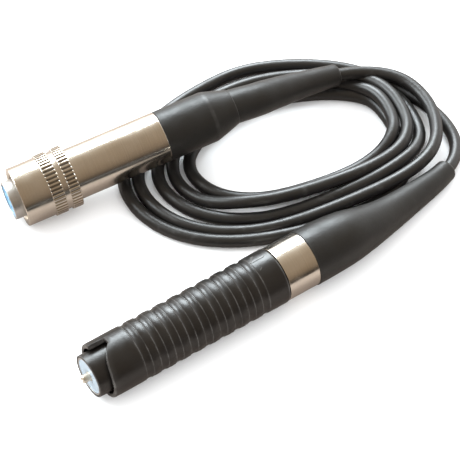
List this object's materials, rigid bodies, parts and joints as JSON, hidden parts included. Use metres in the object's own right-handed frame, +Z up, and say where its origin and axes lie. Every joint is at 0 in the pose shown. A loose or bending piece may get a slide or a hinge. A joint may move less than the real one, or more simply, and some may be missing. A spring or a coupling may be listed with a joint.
{
  "type": "soil moisture sensor lead",
  "caption": "Sensor lead with a ribbed turn-lock probe head, tapered strain-relief boot, loosely looped round cable and a knurled circular metal connector.",
  "frame": {"origin": "under the middle of the probe head, on the surface that it lies on", "axes": "+X along the probe head from its tip to its boot, +Z up"},
  "size_m": [0.1496, 0.0891, 0.0228],
  "materials": {
    "black_polymer": "satin moulded",
    "bright_nickel": "satin nickel",
    "white_insulator": "smooth",
    "brass": "turned",
    "seal_rubber": "matt",
    "spring_steel": "plain",
    "board_laminate": "solder mask",
    "component_black": "matt",
    "wire_insulation": "smooth",
    "potting_resin": "cast",
    "crimp_metal": "crimped",
    "boot_rubber": "satin",
    "cable_jacket": "satin",
    "blue_insulator": "smooth",
    "clamp_plastic": "moulded",
    "nut_metal": "turned"
  },
  "bodies": {
    "root": {"tip_housing": "black_polymer", "steel_ring": "bright_nickel", "outer_contact": "bright_nickel", "contact_shell": "bright_nickel", "barrel": "bright_nickel", "tip_insulator": "white_insulator", "centre_contact": "brass", "contact_sockets": "brass", "core_tube": "brass", "tip_o_ring": "seal_rubber", "sleeve_seal": "seal_rubber", "shell_o_ring": "seal_rubber", "clamp_seal": "seal_rubber", "sleeve_clip": "spring_steel", "ring_clip": "spring_steel", "circuit_board": "board_laminate", "board_parts": "component_black", "signal_wires": "wire_insulation", "plug_wires": "wire_insulation", "potting_plug": "potting_resin", "crimp_ferrule": "crimp_metal", "probe_boot": "boot_rubber", "plug_boot": "boot_rubber", "cable_sleeve": "boot_rubber", "cable_probe_lead": "cable_jacket", "cable_coil": "cable_jacket", "cable_plug_lead": "cable_jacket", "contact_insulator": "blue_insulator", "clamp_basket": "clamp_plastic", "pinch_nut": "nut_metal"},
    "lock_sleeve": {"lock_sleeve": "black_polymer"},
    "coupling_ring": {"coupling_ring": "bright_nickel"}
  },
  "joints": [
    {"name": "lock_turn", "type": "hinge", "parent": "root", "child": "lock_sleeve", "pos_m": [0, 0, 0.00875], "axis": [1, 0, 0], "range_deg": [0, 60]},
    {"name": "ring_turn", "type": "hinge", "parent": "root", "child": "coupling_ring", "pos_m": [-0.01145, 0.06491, 0.01004], "axis": [0.9855, -0.1455, 0.0872], "continuous": true}
  ]
}
